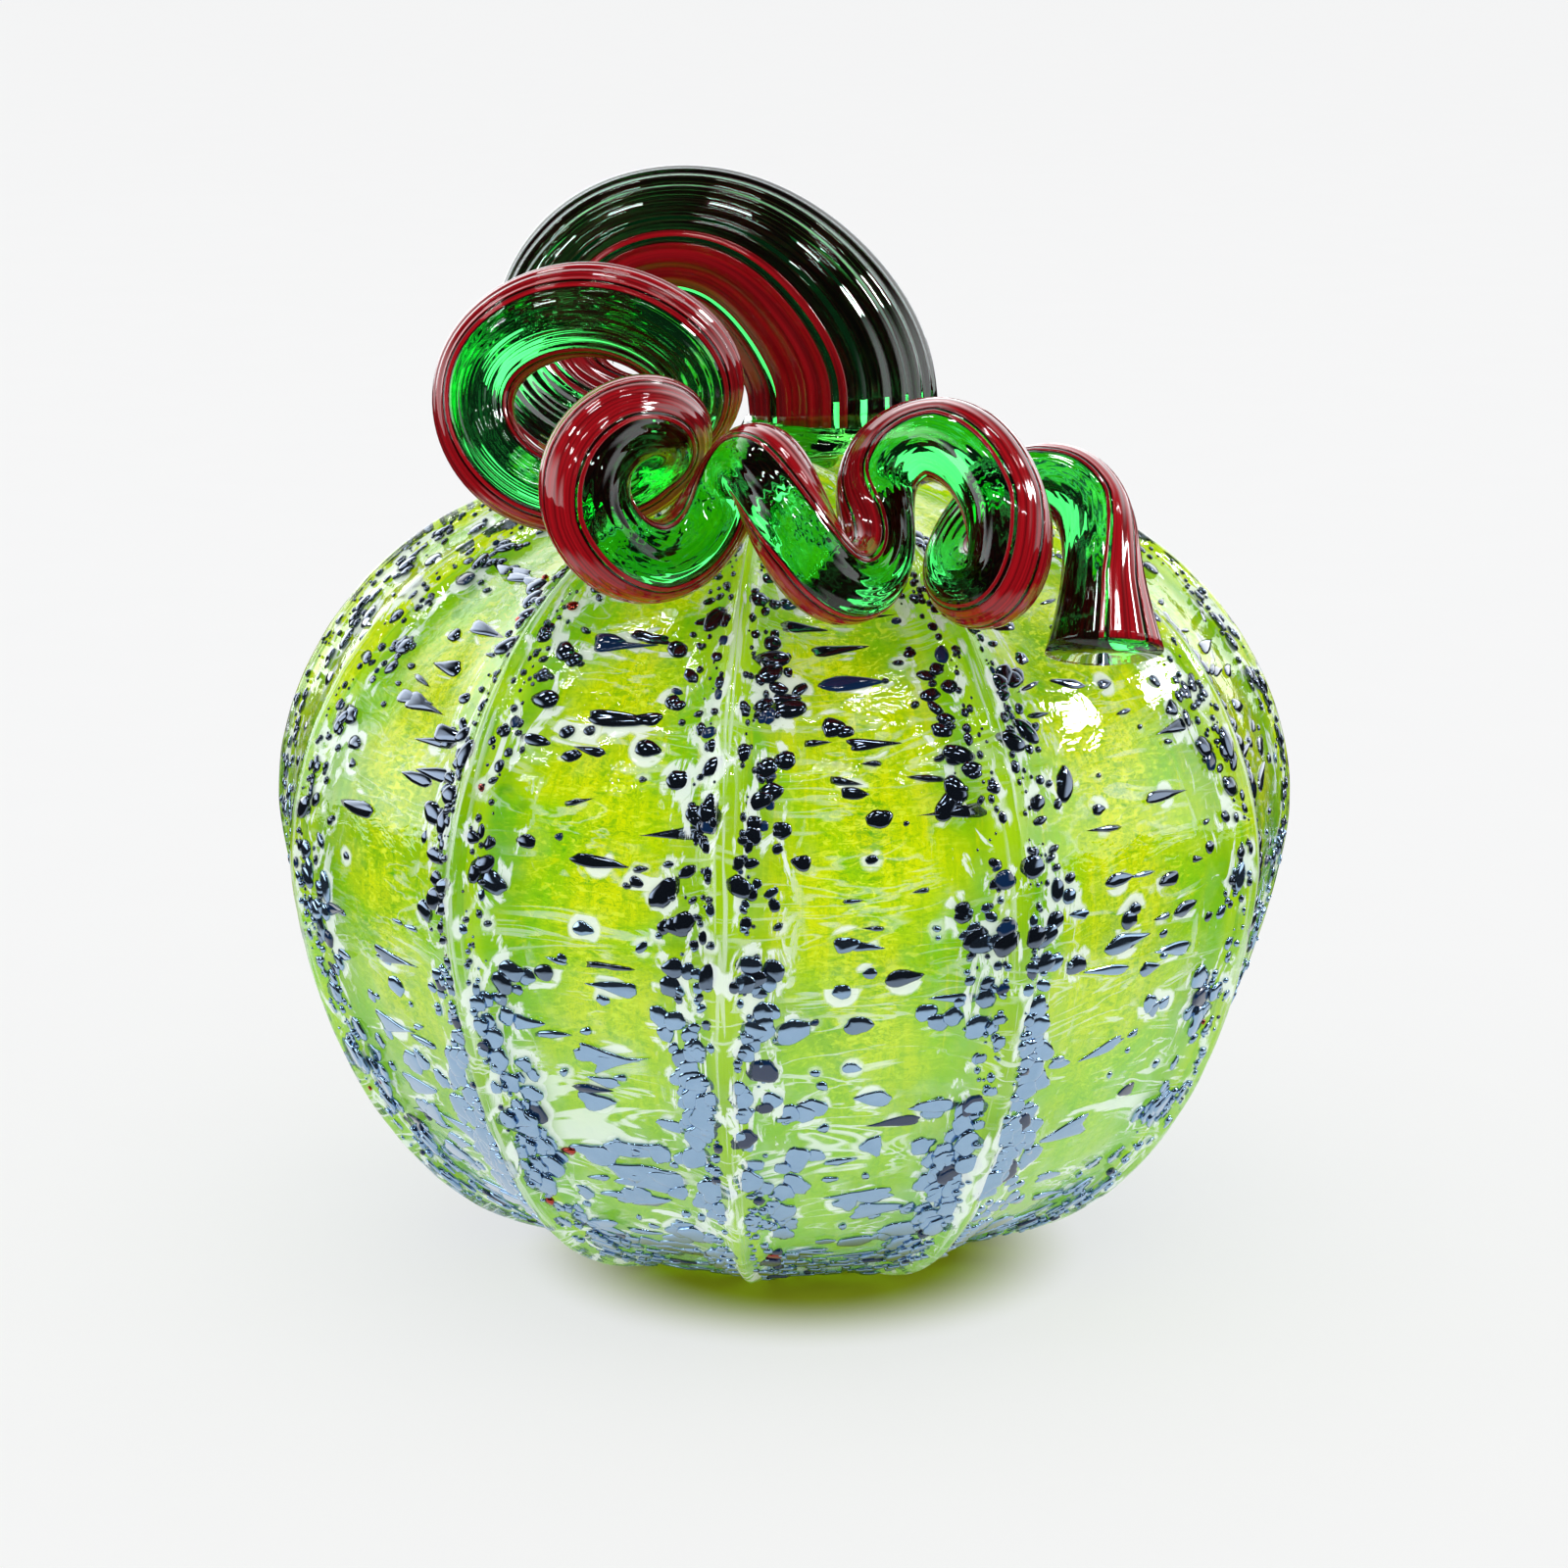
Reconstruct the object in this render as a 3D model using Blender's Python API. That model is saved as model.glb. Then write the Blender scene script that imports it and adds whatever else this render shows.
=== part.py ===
"""Blown-glass pumpkin: a ribbed hollow body with a coiled stem of two glasses on its crown.

Metres, +Z up, -Y is the side shown to the viewer. The origin is the middle of the flat foot.
"""
import math

import bmesh
import bpy
import numpy as np

MILLIMETRE = 0.001

# Body: the line of the rib crests, from the crown down to the foot
body_radius = 0.0757
equator_height = 0.063
crown_rise = 0.054
shoulder_power = 0.80
flank_power = 0.52
flank_drop_power = 1.35
foot_radius = 0.024

# Ribs: bearings from the front, towards the right, in degrees
rib_bearings = (-67, -36, -6, 25, 62, 92, 122, 152, 181, 209, 237, 265)
rib_depth = 0.0036
rib_sharpness = 5.0
crest_share = 0.34
crest_sharpness = 70.0
rib_run_in_at_foot = 0.024
rib_run_in_at_crown = 0.040
rib_share_at_crown = 0.35

# Walls and fits
casing_wall = 0.0038
bubble_wall = 0.0022
bubble_gap = 0.0006
pipe_hole_radius = 0.0095
plug_clearance = 0.0012
plug_depth = 0.0075
pad_overhang = 0.0015
fit_gap = 0.0003

# Stem: the course of the trail over the crown, from root to tip, in millimetres.
# Right and back are walked over the body from the crown; lift is off its surface.
# Each row: right, back, lift, thickness
stem_course = (
    (9.0, 9.0, 4.0, 28.0),
    (8.2, 9.4, 10.0, 28.0),
    (1.2, 9.0, 21.4, 25.8),
    (-10.6, 8.0, 29.7, 22.0),
    (-23.6, 5.0, 27.6, 19.8),
    (-29.5, 0.0, 17.5, 18.0),
    (-26.5, -12.0, 10.2, 15.5),
    (-15.0, -19.0, 8.5, 13.5),
    (-10.0, -22.0, 16.0, 13.0),
    (-16.0, -23.0, 25.0, 13.0),
    (-24.0, -24.0, 29.0, 13.0),
    (-33.0, -25.0, 26.5, 12.0),
    (-36.5, -29.5, 19.0, 11.0),
    (-31.0, -35.5, 9.5, 10.5),
    (-18.0, -34.0, 7.0, 10.5),
    (-13.0, -36.5, 15.0, 11.2),
    (-17.0, -43.0, 22.9, 11.8),
    (-22.4, -50.0, 21.6, 12.2),
    (-20.0, -55.3, 13.2, 11.8),
    (-12.8, -52.0, 7.5, 11.0),
    (-7.0, -45.0, 10.5, 10.5),
    (-3.0, -46.5, 17.5, 11.0),
    (0.5, -55.0, 17.0, 11.5),
    (6.5, -60.0, 10.0, 11.0),
    (12.5, -50.5, 6.0, 10.5),
    (11.5, -40.5, 11.0, 11.0),
    (17.0, -41.5, 18.5, 11.5),
    (24.0, -49.0, 21.0, 11.5),
    (27.0, -57.5, 14.0, 11.0),
    (23.5, -53.5, 6.5, 10.5),
    (26.0, -41.0, 7.0, 10.5),
    (32.0, -35.5, 12.5, 10.5),
    (37.0, -40.5, 15.5, 10.5),
    (39.5, -49.5, 13.5, 11.0),
    (42.0, -58.0, 10.0, 16.0),
)
stem_step = 0.001
stem_softening_passes = 22
stem_rings = 148
overlay_thickness = 0.0012
overlay_gap = 0.0007
overlay_half_span = math.radians(46)
same_bend_reach = 4.4

# Red strips: two, on opposite sides of the trail, that wind about it.
# Each row: share of the way along, and the first strip's bearing round the trail in degrees
overlay_course = (
    (0.0, 225),
    (0.13, 244),
    (0.20, 285),
    (0.27, 320),
    (0.32, 340),
    (0.41, 361),
    (0.445, 366),
    (0.471, 407),
    (0.501, 460),
    (0.534, 500),
    (0.562, 504),
    (0.59, 480),
    (0.615, 456),
    (0.636, 415),
    (0.664, 371),
    (0.692, 350),
    (0.723, 326),
    (0.753, 292),
    (0.776, 250),
    (0.811, 240),
    (0.844, 272),
    (0.869, 290),
    (0.925, 350),
    (0.949, 330),
    (0.977, 352),
    (1.0, 356),
)

# Facets and sampling
crest_samples = 400
spline_samples = 4000
rings_outside = 22
rings_inside = 16
rib_facet_shares = (0.0, 0.035, 0.09, 0.22, 0.5, 0.78, 0.91, 0.965)
seal_facets = 32
rod_bare_facets = 4
overlay_facets = 4


def clear_scene():
    for item in list(bpy.data.objects):
        bpy.data.objects.remove(item, do_unlink=True)


def glass(name, colour, roughness, transmission):
    material = bpy.data.materials.new(name)
    material.use_nodes = True
    shader = material.node_tree.nodes["Principled BSDF"]
    shader.inputs["Base Color"].default_value = (*colour, 1.0)
    shader.inputs["Roughness"].default_value = roughness
    shader.inputs["Metallic"].default_value = 0.0
    shader.inputs["IOR"].default_value = 1.5
    shader.inputs["Transmission Weight"].default_value = transmission
    return material


def smoothstep(share):
    share = np.clip(share, 0.0, 1.0)
    return share * share * (3.0 - 2.0 * share)


def crest_line():
    """Crest radius, height and outward normal against the walk from the crown to the foot edge."""
    foot_angle = math.acos((foot_radius / body_radius) ** (1.0 / flank_power))
    upper = np.linspace(math.pi / 2, 0.0, crest_samples)
    lower = np.linspace(0.0, foot_angle, crest_samples)[1:]
    upper_radius = body_radius * np.clip(np.cos(upper), 0.0, 1.0) ** shoulder_power
    lower_radius = body_radius * np.cos(lower) ** flank_power
    drop = (np.sin(lower) / math.sin(foot_angle)) ** flank_drop_power
    radius = np.concatenate((upper_radius, lower_radius))
    height = np.concatenate((equator_height + crown_rise * np.sin(upper), equator_height * (1.0 - drop)))
    walk = np.concatenate(([0.0], np.cumsum(np.hypot(np.diff(radius), np.diff(height)))))
    normal_out = -np.gradient(height, walk)
    normal_up = np.gradient(radius, walk)
    length = np.hypot(normal_out, normal_up)
    return walk, radius, height, normal_out / length, normal_up / length


crest = crest_line()
crest_length = crest[0][-1]
lip_walk = float(np.interp(pipe_hole_radius, crest[1][:crest_samples], crest[0][:crest_samples]))


def on_crest(walk):
    return tuple(np.interp(walk, crest[0], column) for column in crest[1:])


def rib_fade(walk):
    at_foot = smoothstep((crest_length - walk) / rib_run_in_at_foot)
    at_crown = smoothstep((walk - lip_walk) / rib_run_in_at_crown)
    return at_foot * (rib_share_at_crown + (1.0 - rib_share_at_crown) * at_crown)


def rib_angles():
    """Facet bearings, with one on every crest, and how far each stands up towards the crest line."""
    bearings = []
    swells = []
    following = rib_bearings[1:] + (rib_bearings[0] + 360,)
    for start, end in zip(rib_bearings, following):
        for share in rib_facet_shares:
            bearings.append(math.radians(start + share * (end - start)))
            ridge = abs(math.cos(math.pi * share))
            broad = (1.0 - crest_share) * ridge ** rib_sharpness
            swells.append(broad + crest_share * ridge ** crest_sharpness)
    return np.array(bearings), np.array(swells)


def turned_loop(bearings, radius, height):
    """One closed loop round the Z axis; a bearing of zero is the front."""
    x = radius * np.sin(bearings)
    y = -radius * np.cos(bearings)
    z = np.broadcast_to(height, x.shape)
    return np.column_stack((x, y, z))


def skin_loops(inset, count):
    """Ribbed loops a fixed distance inside the outer skin, from the pipe hole down."""
    bearings, swells = rib_angles()
    loops = []
    for walk in np.linspace(lip_walk, crest_length, count):
        radius, height, out, up = on_crest(walk)
        sink = rib_depth * rib_fade(walk) * (1.0 - swells) + inset
        loops.append(turned_loop(bearings, radius - sink * out, height - sink * up))
    return loops


def skinned(name, loops, material):
    """A closed solid through a row of loops, capped at both ends."""
    mesh = bmesh.new()
    rows = [[mesh.verts.new(point) for point in loop] for loop in loops]
    for row, following in zip(rows, rows[1:]):
        for index in range(len(row)):
            after = (index + 1) % len(row)
            mesh.faces.new((row[index], row[after], following[after], following[index]))
    mesh.faces.new(rows[0])
    mesh.faces.new(rows[-1])
    bmesh.ops.recalc_face_normals(mesh, faces=mesh.faces)
    data = bpy.data.meshes.new(name)
    mesh.to_mesh(data)
    mesh.free()
    data.shade_smooth()
    data.set_sharp_from_angle(angle=math.radians(40))
    data.materials.append(material)
    piece = bpy.data.objects.new(name, data)
    bpy.context.scene.collection.objects.link(piece)
    return piece


def ribbed_casing(material):
    """Outer gather: ribbed in the optic mould, open at the pipe hole, flat at the foot."""
    outside = skin_loops(0.0, rings_outside)
    inside = skin_loops(casing_wall, rings_inside)
    return skinned("ribbed_casing", outside[::-1] + inside, material)


def inner_bubble(material):
    """First gather: the blown bubble that lines the casing and takes its ribs, open at the pipe hole."""
    outer_inset = casing_wall + bubble_gap
    outside = skin_loops(outer_inset, rings_inside)
    inside = skin_loops(outer_inset + bubble_wall, rings_inside)
    return skinned("inner_bubble", outside[::-1] + inside, material)


def over_body(right, back, lift):
    """Points lifted off the crest surface, placed by their walk from the crown."""
    walk = np.maximum(np.hypot(right, back), 1e-6)
    radius, height, out, up = on_crest(walk)
    reach = radius + out * lift
    return np.column_stack((reach * right / walk, reach * back / walk, height + up * lift))


def spline_through(knots, values, at):
    """Natural cubic spline through the values at the knots."""
    gaps = np.diff(knots)
    count = len(knots)
    system = np.eye(count)
    pull = np.zeros_like(values)
    for i in range(1, count - 1):
        system[i, i - 1:i + 2] = gaps[i - 1], 2.0 * (gaps[i - 1] + gaps[i]), gaps[i]
        pull[i] = 6.0 * ((values[i + 1] - values[i]) / gaps[i] - (values[i] - values[i - 1]) / gaps[i - 1])
    bend = np.linalg.solve(system, pull)
    i = np.clip(np.searchsorted(knots, at) - 1, 0, count - 2)
    before = ((knots[i + 1] - at) / gaps[i])[:, None]
    after = 1.0 - before
    curve = (before ** 3 - before) * bend[i] + (after ** 3 - after) * bend[i + 1]
    return before * values[i] + after * values[i + 1] + curve * gaps[i][:, None] ** 2 / 6.0


def walked(points):
    return np.concatenate(([0.0], np.cumsum(np.linalg.norm(np.diff(points, axis=0), axis=1))))


def stem_line():
    """Points every step along the trail's middle, and the trail's radius at each."""
    rows = np.array(stem_course) * MILLIMETRE
    places = over_body(rows[:, 0], rows[:, 1], rows[:, 2])
    knots = np.concatenate(([0.0], np.cumsum(np.sqrt(np.linalg.norm(np.diff(places, axis=0), axis=1)))))
    dense = np.linspace(0.0, knots[-1], spline_samples)
    fine = spline_through(knots, rows, dense)
    along = walked(over_body(fine[:, 0], fine[:, 1], fine[:, 2]))
    steps = np.linspace(0.0, along[-1], int(along[-1] / stem_step))
    rows_at_steps = spline_through(knots, rows, np.interp(steps, along, dense))
    points = over_body(rows_at_steps[:, 0], rows_at_steps[:, 1], rows_at_steps[:, 2])
    for _ in range(stem_softening_passes):
        points[1:-1] = (points[:-2] + 2.0 * points[1:-1] + points[2:]) / 4.0
    return points, rows_at_steps[:, 3] / 2.0


def stem_frames(points):
    """Tangent and two side directions at each point, carried along without twist."""
    tangents = np.gradient(points, axis=0)
    tangents[0] = (0.0, 0.0, 1.0)
    tangents /= np.linalg.norm(tangents, axis=1)[:, None]
    side = np.array((1.0, 0.0, 0.0))
    sides = []
    for tangent in tangents:
        side = side - tangent * side.dot(tangent)
        side /= np.linalg.norm(side)
        sides.append(side)
    sides = np.array(sides)
    return sides, np.cross(tangents, sides)


def stem_sections(radius):
    """Radius and bearing round the rod, with its two recesses, and round the strip in each recess."""
    skin_half_span = overlay_half_span - overlay_gap / radius
    recess = np.linspace(-overlay_half_span, overlay_half_span, overlay_facets + 1)
    skin = np.linspace(-skin_half_span, skin_half_span, overlay_facets + 1)
    bare = np.linspace(overlay_half_span, math.pi - overlay_half_span, rod_bare_facets + 1)
    floor = radius - overlay_thickness
    rod = []
    strips = []
    for middle in (0.0, math.pi):
        rod += [(floor - overlay_gap, middle + angle) for angle in recess]
        rod += [(radius, middle + angle) for angle in bare]
        outer = [(radius, middle + angle) for angle in skin]
        inner = [(floor, middle + angle) for angle in skin[::-1]]
        strips.append(outer + inner)
    return rod, *strips


def stem_loops():
    """Loops along the trail for the rod and for each of the two strips."""
    points, radii = stem_line()
    report_least_gap(points, radii)
    first, second = stem_frames(points)
    shares, degrees = np.array(overlay_course).T
    pieces = ([], [], [])
    for index in np.linspace(0, len(points) - 1, stem_rings).round().astype(int):
        twist = math.radians(np.interp(index / len(points), shares, degrees))
        for loops, section in zip(pieces, stem_sections(radii[index])):
            reach, angle = np.array(section).T
            across = (reach * np.cos(angle + twist))[:, None] * first[index]
            along = (reach * np.sin(angle + twist))[:, None] * second[index]
            loops.append(points[index] + across + along)
    return pieces


def report_least_gap(points, radii):
    """Prints the least clear gap between turns of the trail."""
    spread = np.linalg.norm(points[:, None] - points[None], axis=2) - radii[:, None] - radii[None]
    apart = np.abs(np.arange(len(points))[:, None] - np.arange(len(points))[None]) * stem_step
    near = apart < same_bend_reach * np.maximum(radii[:, None], radii[None])
    print("least gap between turns, mm:", round(float(np.where(near, 1.0, spread).min()) * 1000, 2))


def crown_seal(material):
    """Gob that plugs the pipe hole and makes the level pad under the stem's root."""
    root_right, root_back, root_lift, root_thickness = np.array(stem_course[0]) * MILLIMETRE
    root = over_body(np.array([root_right]), np.array([root_back]), np.array([root_lift]))[0]
    crown = on_crest(lip_walk)[1]
    plug_radius = pipe_hole_radius - plug_clearance
    root_radius = root_thickness / 2.0
    pad_top = root[2] - fit_gap
    pad_floor = crown + fit_gap
    pad_middle = (pad_floor + pad_top) / 2.0
    # Each row: how far the middle has moved from the axis to the root, radius, height
    stack = (
        (0.0, plug_radius, crown - plug_depth),
        (0.0, plug_radius, pad_floor),
        (0.8, root_radius, pad_floor + fit_gap),
        (1.0, root_radius + pad_overhang, pad_middle),
        (1.0, root_radius, pad_top),
    )
    bearings = np.linspace(0.0, 2.0 * math.pi, seal_facets, endpoint=False)
    loops = [turned_loop(bearings, np.full(seal_facets, radius), height) + root * (share, share, 0.0)
             for share, radius, height in stack]
    return skinned("crown_seal", loops, material)


def build():
    clear_scene()
    lime = glass("lime_glass", (0.42, 0.62, 0.04), 0.04, 0.85)
    yellow = glass("yellow_glass", (0.80, 0.78, 0.08), 0.05, 0.85)
    green = glass("green_glass", (0.02, 0.22, 0.05), 0.03, 0.80)
    red = glass("red_glass", (0.45, 0.01, 0.01), 0.05, 0.10)
    far_red = glass("far_red_glass", (0.40, 0.01, 0.01), 0.05, 0.10)
    ribbed_casing(lime)
    inner_bubble(yellow)
    crown_seal(green)
    rod, near_strip, far_strip = stem_loops()
    skinned("stem_rod", rod, green)
    skinned("stem_overlay", near_strip, red)
    skinned("stem_overlay_far", far_strip, far_red)


build()
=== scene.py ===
import math
import random

import bpy
import numpy as np
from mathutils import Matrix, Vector, kdtree, noise


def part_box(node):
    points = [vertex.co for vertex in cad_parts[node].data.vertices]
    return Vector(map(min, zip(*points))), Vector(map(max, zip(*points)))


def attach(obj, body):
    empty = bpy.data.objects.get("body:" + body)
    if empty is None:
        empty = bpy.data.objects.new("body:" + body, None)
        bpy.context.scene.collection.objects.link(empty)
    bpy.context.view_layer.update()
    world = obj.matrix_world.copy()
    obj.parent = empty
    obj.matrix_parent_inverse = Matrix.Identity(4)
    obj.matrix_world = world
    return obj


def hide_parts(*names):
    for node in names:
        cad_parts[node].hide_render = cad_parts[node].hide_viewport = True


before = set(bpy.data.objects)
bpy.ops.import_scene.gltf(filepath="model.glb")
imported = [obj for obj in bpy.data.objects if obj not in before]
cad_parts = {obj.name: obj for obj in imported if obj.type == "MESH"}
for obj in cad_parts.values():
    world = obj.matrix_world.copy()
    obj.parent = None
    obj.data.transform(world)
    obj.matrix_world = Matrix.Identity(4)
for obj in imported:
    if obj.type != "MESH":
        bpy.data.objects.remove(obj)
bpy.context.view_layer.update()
print("frame loaded")


# node wiring
class Wire:
    def __init__(self, board, socket):
        self.board = board
        self.socket = socket

    def sum(self, operation, first, second):
        return self.board.add("ShaderNodeMath", {"operation": operation}, {0: first, 1: second}).out()

    def __add__(self, other):
        return self.sum("ADD", self, other)

    def __radd__(self, other):
        return self.sum("ADD", other, self)

    def __sub__(self, other):
        return self.sum("SUBTRACT", self, other)

    def __rsub__(self, other):
        return self.sum("SUBTRACT", other, self)

    def __mul__(self, other):
        return self.sum("MULTIPLY", self, other)

    def __rmul__(self, other):
        return self.sum("MULTIPLY", other, self)

    def top(self, other):
        return self.sum("MAXIMUM", self, other)


class Added:
    def __init__(self, board, node):
        self.board = board
        self.node = node

    def out(self, name=0):
        return Wire(self.board, self.node.outputs[name])


class Board:
    def __init__(self, tree):
        self.tree = tree
        self.tree.nodes.clear()

    # any node: its type, its settings, then its socket values or links
    def add(self, kind, settings=None, values=None):
        node = self.tree.nodes.new(kind)
        for name, value in (settings or {}).items():
            setattr(node, name, value)
        for name, value in (values or {}).items():
            if isinstance(value, Wire):
                self.tree.links.new(value.socket, node.inputs[name])
            else:
                node.inputs[name].default_value = value
        return Added(self, node)

    def mix(self, factor, first, second):
        return self.add("ShaderNodeMix", {"data_type": "RGBA"}, {0: factor, 6: first, 7: second}).out(2)

    def noise(self, where, scale, detail=2.0, rough=0.5, distort=0.0):
        values = {"Vector": where, "Scale": scale, "Detail": detail}
        values |= {"Roughness": rough, "Distortion": distort}
        return self.add("ShaderNodeTexNoise", None, values).out("Fac")

    # a soft step from low to high
    def step(self, wire, low, high):
        values = {"Value": wire, "From Min": low, "From Max": high}
        return self.add("ShaderNodeMapRange", {"interpolation_type": "SMOOTHSTEP"}, values).out()

    # thin lines where a noise crosses its middle value
    def nearMiddle(self, wire, inner, outer):
        off = wire - 0.5
        return 1 - self.step(off.top(0 - off), inner, outer)

    def stretch(self, where, scale):
        return self.add("ShaderNodeVectorMath", {"operation": "MULTIPLY"}, {0: where, 1: scale}).out()

    def attribute(self, name):
        return self.add("ShaderNodeAttribute", {"attribute_name": name}).out("Fac")

    # place on the skin laid out flat, from the crown down
    def unrolled(self):
        return self.add("ShaderNodeAttribute", {"attribute_name": "unrolled"}).out("Vector")

    def place(self):
        return self.add("ShaderNodeTexCoord").out("Object")

    def along(self):
        return self.add("ShaderNodeUVMap", {"uv_map": "trail"}).out("UV")

    def principled(self, values):
        return self.add("ShaderNodeBsdfPrincipled", None, values).out()

    def blendShaders(self, factor, first, second):
        return self.add("ShaderNodeMixShader", None, {0: factor, 1: first, 2: second}).out()

    # on for rays that come off a mirror or through glass
    def mirrored(self, path):
        return path.out("Is Glossy Ray").top(path.out("Is Transmission Ray"))

    # light passes a glass piece straight on its way to what is inside or under it
    def letLightIn(self, shader, tint):
        path = self.add("ShaderNodeLightPath")
        passing = path.out("Is Shadow Ray").top(path.out("Is Diffuse Ray"))
        clear = self.add("ShaderNodeBsdfTransparent", None, {"Color": tint}).out()
        return self.blendShaders(passing, shader, clear)

    def bump(self, height, strength, distance):
        values = {"Height": height, "Strength": strength, "Distance": distance}
        return self.add("ShaderNodeBump", None, values).out()

    def surface(self, shader):
        self.add("ShaderNodeOutputMaterial", None, {"Surface": shader})


def newBoard(name):
    material = bpy.data.materials.new(name)
    material.use_nodes = True
    return material, Board(material.node_tree)


# mesh helpers
def meshPiece(name, points, faces, material, attributes=None, uv=None):
    data = bpy.data.meshes.new(name)
    data.from_pydata(points, [], faces)
    data.shade_smooth()
    for attributeName, values in (attributes or {}).items():
        values = np.asarray(values, np.float32)
        vector = values.ndim == 2
        layer = data.attributes.new(attributeName, "FLOAT_VECTOR" if vector else "FLOAT", "POINT")
        layer.data.foreach_set("vector" if vector else "value", values.ravel())
    if uv is not None:
        layer = data.uv_layers.new(name="trail")
        corners = np.zeros(len(data.loops), np.int32)
        data.loops.foreach_get("vertex_index", corners)
        layer.data.foreach_set("uv", np.asarray(uv, np.float32)[corners].ravel())
    data.materials.append(material)
    piece = bpy.data.objects.new(name, data)
    bpy.context.scene.collection.objects.link(piece)
    return piece


# rings of points joined up, outside facing out when the rings climb
def gridFaces(rows, columns, offset=0, climbing=True):
    faces = []
    for row in range(rows - 1):
        for column in range(columns):
            after = (column + 1) % columns
            a = offset + row * columns
            b = a + columns
            face = (a + column, a + after, b + after, b + column)
            faces.append(face if climbing else face[::-1])
    return faces


# outer and inner skin of one hollow piece, crown to foot, closed at the crown's edge and at the foot
def shellFaces(outerRows, innerRows, columns):
    outerCount = outerRows * columns
    faces = gridFaces(outerRows, columns, 0, False)
    faces += gridFaces(innerRows, columns, outerCount)
    for k in range(columns):
        after = (k + 1) % columns
        faces.append((k, after, outerCount + after, outerCount + k))
    faces.append(tuple(outerCount - columns + k for k in range(columns))[::-1])
    faces.append(tuple(outerCount + (innerRows - 1) * columns + k for k in range(columns)))
    return faces


# a closed tube of rings
def tubeFaces(rows, columns, offset=0):
    faces = gridFaces(rows, columns, offset)
    faces.append(tuple(offset + k for k in range(columns))[::-1])
    faces.append(tuple(offset + (rows - 1) * columns + k for k in range(columns)))
    return faces


def smoothstep(share):
    share = np.clip(share, 0, 1)
    return share * share * (3 - 2 * share)


# body form, the same line as the built casing
body = {
    "radius": 0.0757,
    "equator": 0.063,
    "crownRise": 0.054,
    "shoulderPower": 0.80,
    "flankPower": 0.52,
    "dropPower": 1.35,
    "foot": 0.024,
    "pipeHole": 0.0095,
    "ribs": (-67, -36, -6, 25, 62, 92, 122, 152, 181, 209, 237, 265),
    "ribDepth": 0.0036,
    "ribSharpness": 5.0,
    "crestShare": 0.34,
    "crestSharpness": 70.0,
    "runInFoot": 0.024,
    "runInCrown": 0.040,
    "crownShare": 0.35,
    "rows": 190,
    "perRib": 48,
    "wander": 0.00035,
    "wanderScale": 38,
    "wanderInward": 0.6,
    "ripple": 0.00010,
    "rippleScale": 260,
    "lineSteps": 400,
    "highFrom": 0.015,
    "highRun": 0.06,
}


def crestLine():
    footAngle = math.acos((body["foot"] / body["radius"]) ** (1 / body["flankPower"]))
    upper = np.linspace(math.pi / 2, 0, body["lineSteps"])
    lower = np.linspace(0, footAngle, body["lineSteps"])[1:]
    upperRadius = body["radius"] * np.clip(np.cos(upper), 0, 1) ** body["shoulderPower"]
    lowerRadius = body["radius"] * np.cos(lower) ** body["flankPower"]
    drop = (np.sin(lower) / math.sin(footAngle)) ** body["dropPower"]
    radius = np.concatenate((upperRadius, lowerRadius))
    upperHeight = body["equator"] + body["crownRise"] * np.sin(upper)
    height = np.concatenate((upperHeight, body["equator"] * (1 - drop)))
    walk = np.concatenate(([0], np.cumsum(np.hypot(np.diff(radius), np.diff(height)))))
    out = -np.gradient(height, walk)
    up = np.gradient(radius, walk)
    length = np.hypot(out, up)
    return walk, radius, height, out / length, up / length


crest = crestLine()
crestEnd = crest[0][-1]
shoulder = slice(0, body["lineSteps"])
lipWalk = float(np.interp(body["pipeHole"], crest[1][shoulder], crest[0][shoulder]))
ribAngles = np.radians(np.array(body["ribs"] + (body["ribs"][0] + 360,), float))


def onCrest(walk):
    return [np.interp(walk, crest[0], column) for column in crest[1:]]


def ribFade(walk):
    atFoot = smoothstep((crestEnd - walk) / body["runInFoot"])
    atCrown = smoothstep((walk - lipWalk) / body["runInCrown"])
    return atFoot * (body["crownShare"] + (1 - body["crownShare"]) * atCrown)


# share of the way from one crest to the next, for any bearing
def ribShare(bearing):
    start = ribAngles[0]
    turned = (np.asarray(bearing) - start) % (2 * math.pi) + start
    index = np.clip(np.searchsorted(ribAngles, turned, side="right") - 1, 0, len(ribAngles) - 2)
    return (turned - ribAngles[index]) / (ribAngles[index + 1] - ribAngles[index])


# a point of the ribbed skin and its outward direction
def onSkin(walk, bearing, inset=0.0):
    radius, height, out, up = onCrest(walk)
    ridge = np.abs(np.cos(math.pi * ribShare(bearing)))
    broad = (1 - body["crestShare"]) * ridge ** body["ribSharpness"]
    swell = broad + body["crestShare"] * ridge ** body["crestSharpness"]
    sink = body["ribDepth"] * ribFade(walk) * (1 - swell) + inset
    reach = radius - sink * out
    point = np.array((reach * np.sin(bearing), -reach * np.cos(bearing), height - sink * up))
    outward = np.array((out * np.sin(bearing), -out * np.cos(bearing), up + 0 * bearing))
    return np.moveaxis(point, 0, -1), np.moveaxis(outward, 0, -1)


def skinGrid(rows, perRib, inset):
    walks = np.linspace(lipWalk, crestEnd, rows)
    shares = np.arange(perRib) / perRib
    bearings = np.concatenate([a + shares * (b - a) for a, b in zip(ribAngles, ribAngles[1:])])
    grid = np.meshgrid(walks, bearings, indexing="ij")
    return grid[0], grid[1], *onSkin(grid[0], grid[1], inset)


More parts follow.
